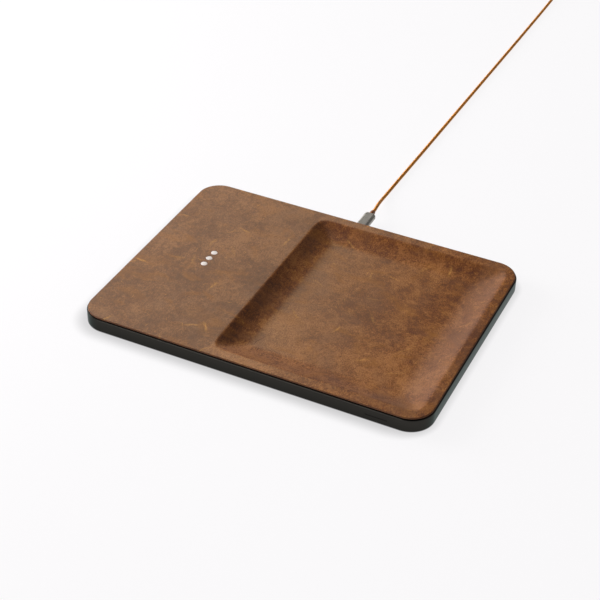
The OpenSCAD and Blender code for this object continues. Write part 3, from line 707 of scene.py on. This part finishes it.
def build_cord():
    """The braided cord as one tube with real relief, from the plug's collar to the free plug's collar."""
    spacing = 0.4 * MM
    sides = 24
    line = even(smooth(ROUTE, MM) + coil_path() + smooth(TAIL, MM), spacing)
    for centre in line:
        centre.z = max(centre.z, CORD_DIAMETER / 2)
    points = []
    side = Vector((1, 0, 0))
    for i, centre in enumerate(line):
        along = (line[min(i + 1, len(line) - 1)] - line[max(i - 1, 0)]).normalized()
        side = (side - side.dot(along) * along).normalized()
        up = along.cross(side)
        for a in turns(sides):
            wave = math.cos(math.tau * i * spacing / BRAID_LENGTH) - math.cos(BRAID_STRANDS * a)
            radius = CORD_DIAMETER / 2 - BRAID_RELIEF + BRAID_RELIEF / 2 * wave
            points.append(centre + radius * (math.cos(a) * side + math.sin(a) * up))
    last = len(points) - 1
    faces = loft([range(sides)] * len(line))
    faces += [tuple(range(sides)), tuple(range(last, last - sides, -1))]
    cord = piece_from("braided_cord", points, faces, MATERIALS["cord_braid"], 60)
    map_cord(cord.data, sides, spacing)
    dress(cord, "cord_braid", "cable", "cable_run", "cable_coil", "cable_tail")
    return cord, line


def map_cord(mesh, sides, spacing):
    """Gives the cord's mesh its map: u along it in lengths of the braid, v round it in strands."""
    layer = mesh.uv_layers.new(name="cord")
    for face in mesh.polygons:
        steps = [mesh.loops[k].vertex_index for k in face.loop_indices]
        rounds = [v % sides for v in steps]
        wraps = max(rounds) - min(rounds) > sides / 2
        for k, v, around in zip(face.loop_indices, steps, rounds):
            if wraps and around < sides / 2:
                around += sides
            layer.data[k].uv = (v // sides * spacing / BRAID_LENGTH, around * BRAID_STRANDS / sides)


def build_tie():
    """A strap round the left side of the coil, with its end lapped over on the outside."""
    slack = 0.05 * MM
    half_across = 1.5 * CORD_DIAMETER + slack
    half_high = 2 * CORD_DIAMETER + slack
    middle = COIL_CENTRE + Vector((-COIL_RADIUS, 0, 1.5 * CORD_DIAMETER))
    around = rounded_outline(half_across, half_high, CORD_DIAMETER / 2, 8)
    soft = 0.12 * MM
    # The strap's section: how far in from its edge, on which side, and how high
    section = [(0, -1, 0), (0, -1, soft), (soft, -1, TIE_WALL)]
    section += [(soft, 1, TIE_WALL), (0, 1, soft), (0, 1, 0)]
    count = len(section)

    def band(name, lift, width, keep=None):
        """A strap that stands off the coil by lift. keep picks the part of the way round that it covers."""
        outline = [(p, out) for p, out in around if keep is None or keep(p)]
        points = []
        for p, out in outline:
            for inset, side, height in section:
                at = p + (lift + height) * out
                points.append(middle + Vector((at.x, side * (width / 2 - inset), at.y)))
        faces = loft([section] * len(outline), joined=keep is None)
        if keep:
            last = len(points) - 1
            faces += [tuple(range(count)), tuple(range(last, last - count, -1))]
        return piece_from(name, points, faces, MATERIALS["tie_strap"])

    def on_left(p):
        """Whether a place is on the left side of the coil's section."""
        return p.x < 0.4 * MM - half_across and abs(p.y) < half_high

    strap = band("tie_strap", 0, TIE_LENGTH)
    lap = band("tie_lap", TIE_WALL, TIE_LENGTH - 0.6 * MM, on_left)
    dress(strap, "tie_strap", "cable", "cable_tie")
    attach(lap, "cable")
    return [strap, lap]


# ---- Plugs ----

def bevelled_section(half_x, half_z, bevel, soften):
    """An oblong with bevelled and slightly softened corners."""
    corners = []
    for sx, sz in ((1, 1), (-1, 1), (-1, -1), (1, -1)):
        pair = [(sx * half_x, sz * (half_z - bevel)), (sx * (half_x - bevel), sz * half_z)]
        corners += pair if sx * sz > 0 else pair[::-1]
    section = []
    for i, here in enumerate(corners):
        here = Vector(here)
        before, after = Vector(corners[i - 1]), Vector(corners[(i + 1) % len(corners)])
        start = here + (before - here).normalized() * soften
        end = here + (after - here).normalized() * soften
        section += [start, (start + 2 * here + end) / 4, end, (end + after) / 2]
    return section


def oval_at(angle, width, height):
    """The point of a flat oval in the direction of an angle."""
    reach = (width - height) / 2
    x, z = math.cos(angle), math.sin(angle)
    flat = height / 2 / abs(z) if abs(z) > 1e-9 else math.inf
    if abs(flat * x) <= reach:
        return Vector((flat * x, flat * z))
    along = math.copysign(reach, x)
    across = along * x + math.sqrt(max((height / 2) ** 2 - (along * z) ** 2, 0))
    return Vector((across * x, across * z))


def build_housing(name, place):
    """Hollow bevelled metal housing of a plug, with its front at y = 0 of its own axes."""
    outer = bevelled_section(PLUG_WIDTH / 2, PLUG_HEIGHT / 2, PLUG_BEVEL, 0.25 * MM)
    angles = [math.atan2(p.y, p.x) for p in outer]
    widest = PLUG_WIDTH / 2

    def ring(y, squeeze, shrink=0):
        """The outer section at y, squeezed for the plan's round corners and shrunk all round."""
        sx = (widest - squeeze - shrink) / widest
        sz = (PLUG_HEIGHT / 2 - shrink) / (PLUG_HEIGHT / 2)
        return [Vector((p.x * sx, y, p.y * sz)) for p in outer]

    def oval(y, width, height):
        """A flat oval at y, with a point for each of the outer section's."""
        return [Vector((q.x, y, q.y)) for q in (oval_at(a, width, height) for a in angles)]

    mouth = (PLUG_WIDTH - 2 * PLUG_SKIN, PLUG_HEIGHT - 2 * PLUG_SKIN)
    hole = 2 * COLLAR_TIP
    inner_end = PLUG_LENGTH - PLUG_BACK
    lip = 0.2 * MM
    rings = [oval(inner_end, hole, hole), oval(inner_end, *mouth), oval(lip, *mouth)]
    rings += [oval(0, mouth[0] + 2 * lip, mouth[1] + 2 * lip), ring(0, 0, lip), ring(lip, 0)]
    rings += [ring(y, 0) for y in (0.3 * PLUG_LENGTH, 0.6 * PLUG_LENGTH)]
    for x, y in arc(widest - PLUG_CORNER, PLUG_LENGTH - PLUG_CORNER, PLUG_CORNER, 0, 75, 8):
        rounding = max(0, (y - PLUG_LENGTH + PLUG_CORNER) / PLUG_CORNER)
        rings.append(ring(y, widest - x, lip * rounding ** 3))
    rings += [ring(PLUG_LENGTH, PLUG_CORNER, 1.5 * lip), oval(PLUG_LENGTH, hole + lip, hole + lip)]
    rings.append(oval(PLUG_LENGTH - lip, hole, hole))
    points = [place @ p for r in rings for p in r]
    return piece_from(name, points, loft(rings, joined=True), MATERIALS["plug_metal"], 10)


def build_collar(name, place):
    """Rounded collar where the cord leaves the housing, with a groove next to it."""
    ease = 0.5 * MM
    groove = 0.25 * MM
    chamfer = 0.1 * MM
    stub = COLLAR_TIP - 0.05 * MM
    cord_hole = (CORD_DIAMETER / 2, COLLAR_LENGTH - 0.3 * MM)
    profile = [(0, -COLLAR_STUB), (stub - chamfer, -COLLAR_STUB), (stub, chamfer - COLLAR_STUB)]
    profile += [(stub, groove)] + arc(COLLAR_RADIUS - ease, groove + ease, ease, -90, 0, 6)
    profile += [(COLLAR_RADIUS - 0.08 * MM, 0.55 * COLLAR_LENGTH)]
    profile += arc(COLLAR_TIP + 0.15 * MM - ease, COLLAR_LENGTH - ease, ease, 10, 90, 6)
    profile += [(cord_hole[0], COLLAR_LENGTH), cord_hole, (0, cord_hole[1])]
    points, faces = lathe(profile, 48)
    stand = Matrix.Translation((0, PLUG_LENGTH, 0)) @ Matrix.Rotation(-math.pi / 2, 4, "X")
    return piece_from(name, [place @ stand @ p for p in points], faces, MATERIALS["collar"], 50)


def build_plugs():
    """The plug in the port and the free plug, each with its housing and collar."""
    seated = Matrix.Translation((0, RIM_HIGH.y, PORT.z))
    low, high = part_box("free_plug_housing")
    lying = Matrix.Translation((low.x, (low.y + high.y) / 2, (low.z + high.z) / 2))
    lying = lying @ Matrix.Rotation(-math.pi / 2, 4, "Z")
    made = []
    for prefix, place in (("plug", seated), ("free_plug", lying)):
        housing = build_housing(prefix + "_body", place)
        collar = build_collar(prefix + "_relief", place)
        made.append(dress(housing, "plug_metal", "cable", prefix + "_housing"))
        made.append(dress(collar, "collar", "cable", prefix + "_collar"))
    return made


# ---- Rim ----

def build_rim():
    """The dark metal rim, with the port's opening and a plain debossed capsule on its front."""
    top, foot = RIM_HIGH.z, RIM_LOW.z
    inside = -RIM_WALL
    ledge = inside - LEDGE_WIDTH
    profile = [(inside, foot)] + arc(-RIM_FOOT_EASE, foot + RIM_FOOT_EASE, RIM_FOOT_EASE, -90, 0, 6)
    profile += arc(-RIM_EASE, top - RIM_EASE, RIM_EASE, 0, 90, 10)
    profile += [(inside + RIM_BREAK, top), (inside, top - RIM_BREAK), (inside, LEDGE_TOP)]
    profile += [(ledge, LEDGE_TOP), (ledge, LEDGE_BOTTOM), (inside, LEDGE_BOTTOM)]
    outline = rounded_outline(RIM_HIGH.x, RIM_HIGH.y, PAD_RADIUS, 32)
    rings = [[p + offset * out + z * UP for offset, z in profile] for p, out in outline]
    points = [p for ring in rings for p in ring]
    metal = MATERIALS["rim_metal"]
    rim = piece_from("rim", points, loft(rings, joined=True), metal)
    port = oval_cutter(PORT, *OPENING, RIM_HIGH.y - 3 * RIM_WALL, RIM_HIGH.y + RIM_WALL, metal)
    mark = oval_cutter(MARK_PLACE, *MARK, RIM_LOW.y - RIM_WALL, RIM_LOW.y + MARK_DEPTH, metal)
    cut(rim, port, mark)
    return dress(rim, "rim_metal", "pad", "rim_frame")


# ---- Leather ----

def tray_depth(x, y):
    """How far the leather dips at a place: concave walls, round corners and a softened shoulder."""
    u = 1 - min(x - TRAY_LEFT, TRAY_RIGHT - x) / TRAY_WALL
    v = 1 - (TRAY_HALF_DEPTH - abs(y)) / TRAY_WALL
    u, v = max(u, 0), max(v, 0)
    out = (u ** TRAY_CORNER_POWER + v ** TRAY_CORNER_POWER) ** (1 / TRAY_CORNER_POWER)
    inset = TRAY_WALL * (1 - out)
    inset = (inset + math.hypot(inset, TRAY_SHOULDER)) / 2
    return TRAY_DROP * (1 - max(1 - inset / TRAY_WALL, 0) ** 2)


def spread(stops, fine):
    """Lines from the first stop to the last, through each, closer together between the two fine ones."""
    lines = [stops[0]]
    for a, b in zip(stops, stops[1:]):
        gap = 2 * SQUARE / SQUARE_CELLS if fine[0] <= (a + b) / 2 <= fine[1] else GRID_STEP
        parts = math.ceil((b - a) / gap - 1e-6)
        lines += [a + (b - a) * k / parts for k in range(1, parts + 1)]
    return lines


def nearest(lines, place):
    """The number of the line closest to a place."""
    return min(range(len(lines)), key=lambda i: abs(lines[i] - place))


def leather_grid():
    """Columns and rows of the leather's grid, and the lines round each dot's square as x0, x1, y0, y1."""
    dot = DOT_PLACES["middle"]
    sides = [dot.x - SQUARE, dot.x + SQUARE]
    ends = [dot.y + k * SQUARE for k in (-3, -1, 1, 3)]
    columns = spread([-GRID_X, -GRID_STRAIGHT, *sides, TRAY_LEFT, GRID_STRAIGHT, GRID_X], sides)
    straight = GRID_Y - GRID_RADIUS
    rows = spread([-straight, *ends, straight], (ends[0], ends[-1]))
    corner = [straight + GRID_RADIUS * math.sin(math.radians(a)) for a in range(5, 91, 5)]
    rows = [-y for y in reversed(corner)] + rows + corner
    x0, x1 = (nearest(columns, x) for x in sides)
    ends = [nearest(rows, y) for y in ends]
    return columns, rows, [(x0, x1, y0, y1) for y0, y1 in zip(ends, ends[1:])]


def follow_corners(x, y):
    """Where a column runs at the row y. Columns near the sides move in round the corners."""
    if abs(x) <= GRID_STRAIGHT:
        return x
    rise = max(abs(y) - (GRID_Y - GRID_RADIUS), 0)
    edge = GRID_X - GRID_RADIUS + math.sqrt(max(GRID_RADIUS ** 2 - rise ** 2, 0))
    share = (abs(x) - GRID_STRAIGHT) / (GRID_X - GRID_STRAIGHT)
    return math.copysign(GRID_STRAIGHT + share * (edge - GRID_STRAIGHT), x)


def round_block(wide, x0, x1, y0, y1):
    """Point numbers round a block of cells, counter-clockwise, in a grid with wide points to a row."""
    front = [y0 * wide + i for i in range(x0, x1)]
    right = [j * wide + x1 for j in range(y0, y1)]
    rear = [y1 * wide + i for i in range(x1, x0, -1)]
    return front + right + rear + [j * wide + x0 for j in range(y1, y0, -1)]


def edge_ring(border, out, rise):
    """The leather's border moved outward and up, with the slight waver of a cut edge."""
    limit_x, limit_y = GRID_X - GRID_RADIUS, GRID_Y - GRID_RADIUS
    ring = []
    for p in border:
        hub = Vector((min(max(p.x, -limit_x), limit_x), min(max(p.y, -limit_y), limit_y), p.z))
        waver = WAVER * (noise.noise(p / WAVER_LENGTH) - 0.5) * out / SKIN_EASE
        ring.append(p + (out + waver) * (p - hub).normalized() + rise * UP)
    return ring


def build_leather():
    """The leather cover: one closed sheet with an eased edge, the tray's dip and a pocket for each dot."""
    columns, rows, squares = leather_grid()
    wide, high = len(columns), len(rows)
    points = []
    for lift in (0, -SKIN):
        for y in rows:
            for column in columns:
                x = follow_corners(column, y)
                points.append(Vector((x, y, SKIN_HIGH.z + lift - tray_depth(x, y))))
    under = wide * high

    faces = []
    for j in range(high - 1):
        for i in range(wide - 1):
            a = j * wide + i
            quad = (a, a + 1, a + 1 + wide, a + wide)
            if not any(x0 <= i < x1 and y0 <= j < y1 for x0, x1, y0, y1 in squares):
                faces.append(quad)
            faces.append(tuple(under + q for q in reversed(quad)))

    def add_ring(before, ring):
        """Adds a ring of points, joined to the one before it, and gives its point numbers."""
        numbers = range(len(points), len(points) + len(ring))
        points.extend(ring)
        faces.extend(stitch(before, numbers))
        return numbers

    for x0, x1, y0, y1 in squares:
        numbers = round_block(wide, x0, x1, y0, y1)
        centre = Vector((DOT_PLACES["middle"].x, (rows[y0] + rows[y1]) / 2, SKIN_HIGH.z))
        rays = [(points[v] - centre).normalized() for v in numbers]
        for away, depth in POCKET:
            numbers = add_ring(numbers, [centre + (DOT_RADIUS + away) * ray - depth * UP for ray in rays])
        faces.append(tuple(numbers))

    numbers = round_block(wide, 0, wide - 1, 0, high - 1)
    border = [points[v] for v in numbers]
    border_under = [under + v for v in numbers]
    edge = arc(0, -SKIN_EASE, SKIN_EASE, 90, 0, 7)[1:]
    edge += [(SKIN_EASE, SKIN_EASE / 2 - SKIN), (0.8 * SKIN_EASE, 0.1 * SKIN_EASE - SKIN)]
    edge += [(SKIN_EASE / 2, -SKIN)]
    for out, rise in edge:
        numbers = add_ring(numbers, edge_ring(border, out, rise))
    faces += stitch(numbers, border_under)
    cover = piece_from("leather", points, faces, MATERIALS["leather"], 50)
    return dress(cover, "leather", "pad", "leather_cover")


def build_dots():
    """Three inlaid discs with a softened edge."""
    for side, (low, high) in DOTS.items():
        thick = high.z - low.z
        profile = [(0, 0), (DOT_RADIUS - 0.05 * MM, 0), (DOT_RADIUS, 0.05 * MM)]
        profile += [(DOT_RADIUS, thick - 0.16 * MM), (DOT_RADIUS - 0.03 * MM, thick - 0.08 * MM)]
        profile += [(DOT_RADIUS - 0.1 * MM, thick - 0.03 * MM), (DOT_RADIUS - 0.3 * MM, thick)]
        profile.append((0, thick))
        points, faces = lathe(profile, 48)
        base = Vector((DOT_PLACES[side].x, DOT_PLACES[side].y, low.z))
        disc = piece_from("dot_" + side, [base + p for p in points], faces, MATERIALS["dot"])
        dress(disc, "dot", "pad", "alignment_dot_" + side)


# ---- CAD nodes that stay as they are ----

KEPT = {
    "top_deck": "deck_plastic", "base_plate": "base_plastic", "base_screws": "screw_steel",
    "foot_front_left": "foot_rubber", "foot_front_right": "foot_rubber",
    "foot_rear_left": "foot_rubber", "foot_rear_right": "foot_rubber",
    "coil_front": "coil_wire", "coil_middle": "coil_wire",
    "coil_rear": "coil_wire", "coil_leads": "coil_wire",
    "ferrite_plate": "ferrite", "coil_carrier": "carrier_plastic", "main_board": "circuit_board",
    "board_screws": "screw_steel", "controller_chip": "chip_plastic", "power_parts": "component",
    "small_parts": "component", "shield_can": "can_steel", "usb_socket_shell": "socket_steel",
    "usb_socket_tongue": "contact_plastic", "plug_core": "contact_plastic", "plug_shell": "plug_steel",
    "plug_insert": "contact_plastic", "free_plug_core": "contact_plastic", "free_plug_shell": "plug_steel",
    "free_plug_insert": "contact_plastic",
}


def finish_kept_nodes():
    """Gives the CAD nodes that stay their materials."""
    for node, slot in KEPT.items():
        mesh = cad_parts[node].data
        mesh.materials.clear()
        mesh.materials.append(MATERIALS[slot])


# ---- Floor and light ----

def build_floor():
    """The light table, large enough to have no edge in view."""
    sides = ((-1, -1), (1, -1), (1, 1), (-1, 1))
    corners = [Vector((x * FLOOR_REACH, y * FLOOR_REACH, 0)) for x, y in sides]
    floor = piece_from("floor", corners, [(0, 1, 2, 3)], pale_floor())


def soft_box(name, direction, low, high, half_width, distance, glow):
    """A rectangular light that fills a patch of the sky round the pad and shines on its middle."""
    rise, heading = math.radians((low + high) / 2), math.radians(direction)
    level = math.cos(rise)
    place = Vector((math.cos(heading) * level, math.sin(heading) * level, math.sin(rise)))
    light = bpy.data.lights.new(name, "AREA")
    light.shape = "RECTANGLE"
    light.size = 2 * distance * math.tan(math.radians(half_width)) * level
    light.size_y = 2 * distance * math.tan(math.radians((high - low) / 2))
    light.energy = math.pi * light.size * light.size_y * glow
    lamp = bpy.data.objects.new(name, light)
    lamp.location = distance * place
    lamp.visible_camera = False
    lamp.visible_glossy = name not in NO_REFLECTION
    lamp.visible_diffuse = name not in ONLY_REFLECTION
    lamp.rotation_euler = (-place).to_track_quat("-Z", "Y").to_euler()
    bpy.context.scene.collection.objects.link(lamp)


def sky():
    """A dim, even surrounding that brightens towards the horizon."""
    world = bpy.data.worlds.new("studio")
    world.use_nodes = True
    tree = world.node_tree
    way = tree.nodes.new("ShaderNodeTexCoord")
    split = tree.nodes.new("ShaderNodeSeparateXYZ")
    fade = tree.nodes.new("ShaderNodeMapRange")
    fade.interpolation_type = "SMOOTHSTEP"
    for socket, value in zip(("From Min", "From Max", "To Min", "To Max"), (*SKY_FADE, *SKY_GLOW)):
        fade.inputs[socket].default_value = value
    background = tree.nodes["Background"]
    background.inputs["Color"].default_value = (1, 1, 1, 1)
    tree.links.new(way.outputs["Generated"], split.inputs[0])
    tree.links.new(split.outputs["Z"], fade.inputs["Value"])
    tree.links.new(fade.outputs["Result"], background.inputs["Strength"])
    return world


def light_scene():
    """The sky, the soft boxes and plain colours."""
    scene = bpy.context.scene
    scene.world = sky()
    scene.view_settings.view_transform = "Standard"
    scene.view_settings.look = "None"
    for box in SOFT_BOXES:
        soft_box(*box)


place_camera()
cord, cord_line = build_cord()
tie = build_tie()
plugs = build_plugs()
build_leather()
build_dots()
build_rim()
finish_kept_nodes()
build_floor()
light_scene()
